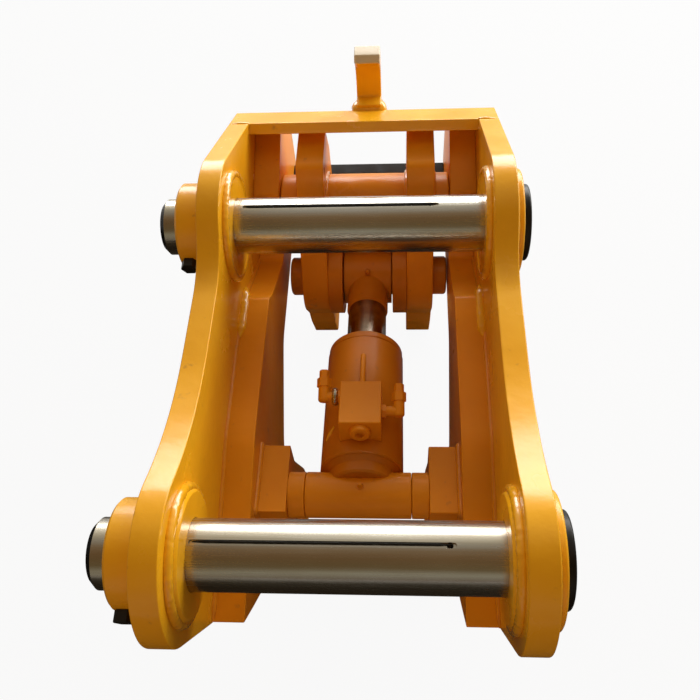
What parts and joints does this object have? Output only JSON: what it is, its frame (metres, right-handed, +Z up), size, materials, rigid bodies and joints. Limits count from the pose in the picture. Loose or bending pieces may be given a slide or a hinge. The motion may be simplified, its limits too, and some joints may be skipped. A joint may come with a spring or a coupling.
{
  "type": "excavator quick coupler",
  "caption": "Hydraulic quick coupler for an excavator arm: two top pins between ears, a fixed front jaw and a rear hook that a cylinder swings shut.",
  "frame": {"origin": "middle of the arm pin, on its axis, halfway between the ears", "axes": "+X along the pins towards their heads, +Y from the arm pin towards the link pin and the rear, +Z up, away from the attachment"},
  "size_m": [0.5169, 0.934, 0.5249],
  "materials": {
    "yellow_paint": "gloss",
    "pin_steel": "polished",
    "black_steel": "satin",
    "chrome_rod": "polished",
    "bronze_bush": "satin",
    "seal_rubber": "matt"
  },
  "bodies": {
    "frame": {"arm_collar": "yellow_paint", "arm_keeper_bolt": "black_steel", "arm_outer_ring": "yellow_paint", "arm_pin": "pin_steel", "arm_pin_head": "black_steel", "base_pin": "yellow_paint", "left_arm_boss": "yellow_paint", "left_base_spacer": "yellow_paint", "left_ear": "yellow_paint", "left_jaw_block": "yellow_paint", "left_link_boss": "yellow_paint", "left_pivot_bolt": "yellow_paint", "left_pivot_retainer": "yellow_paint", "left_side_plate": "yellow_paint", "lifting_hook": "yellow_paint", "link_collar": "yellow_paint", "link_keeper_bolt": "black_steel", "link_outer_ring": "yellow_paint", "link_pin": "pin_steel", "link_pin_head": "black_steel", "pivot_pin": "yellow_paint", "rear_deck": "yellow_paint", "right_arm_boss": "yellow_paint", "right_base_spacer": "yellow_paint", "right_ear": "yellow_paint", "right_jaw_block": "yellow_paint", "right_link_boss": "yellow_paint", "right_pivot_bolt": "yellow_paint", "right_pivot_retainer": "yellow_paint", "right_side_plate": "yellow_paint", "tie_plate": "black_steel"},
    "cylinder": {"cylinder_barrel": "yellow_paint", "cylinder_base_bush": "bronze_bush", "cylinder_base_tube": "yellow_paint", "cylinder_end_cap": "yellow_paint", "cylinder_gland": "yellow_paint", "rod_wiper": "seal_rubber", "valve_block": "yellow_paint", "valve_pipe": "yellow_paint", "valve_plug": "yellow_paint", "left_elbow": "yellow_paint", "right_elbow": "yellow_paint", "left_cap_nut": "yellow_paint", "right_cap_nut": "yellow_paint", "base_nipple": "yellow_paint"},
    "rod": {"piston_rod": "chrome_rod", "rod_eye": "yellow_paint", "rod_eye_bush": "bronze_bush", "rod_nipple": "yellow_paint", "piston": "pin_steel", "piston_seal": "seal_rubber"},
    "hook": {"hook_hub": "yellow_paint", "hook_web": "yellow_paint", "left_hub_bush": "bronze_bush", "right_hub_bush": "bronze_bush", "left_hook_plate": "yellow_paint", "right_hook_plate": "yellow_paint", "left_rod_boss": "yellow_paint", "right_rod_boss": "yellow_paint", "rod_pin": "yellow_paint"}
  },
  "joints": [
    {"name": "hook_pivot", "type": "hinge", "parent": "frame", "child": "hook", "pos_m": [0, 0.655, -0.147], "axis": [1, 0, 0], "range_deg": [-26, 4]},
    {"name": "cylinder_swing", "type": "hinge", "parent": "frame", "child": "cylinder", "pos_m": [0, 0.15, -0.185], "axis": [1, 0, 0], "range_deg": [-1, 5]},
    {"name": "rod_slide", "type": "slide", "parent": "cylinder", "child": "rod", "axis": [0, 0.9921, -0.1254], "range_m": [-0.04, 0.007]}
  ],
  "couplings": [
    {"joint": "rod_slide", "follows": "hook_pivot", "m_per_rad": 0.08493},
    {"joint": "cylinder_swing", "follows": "hook_pivot", "ratio": -0.18419}
  ]
}
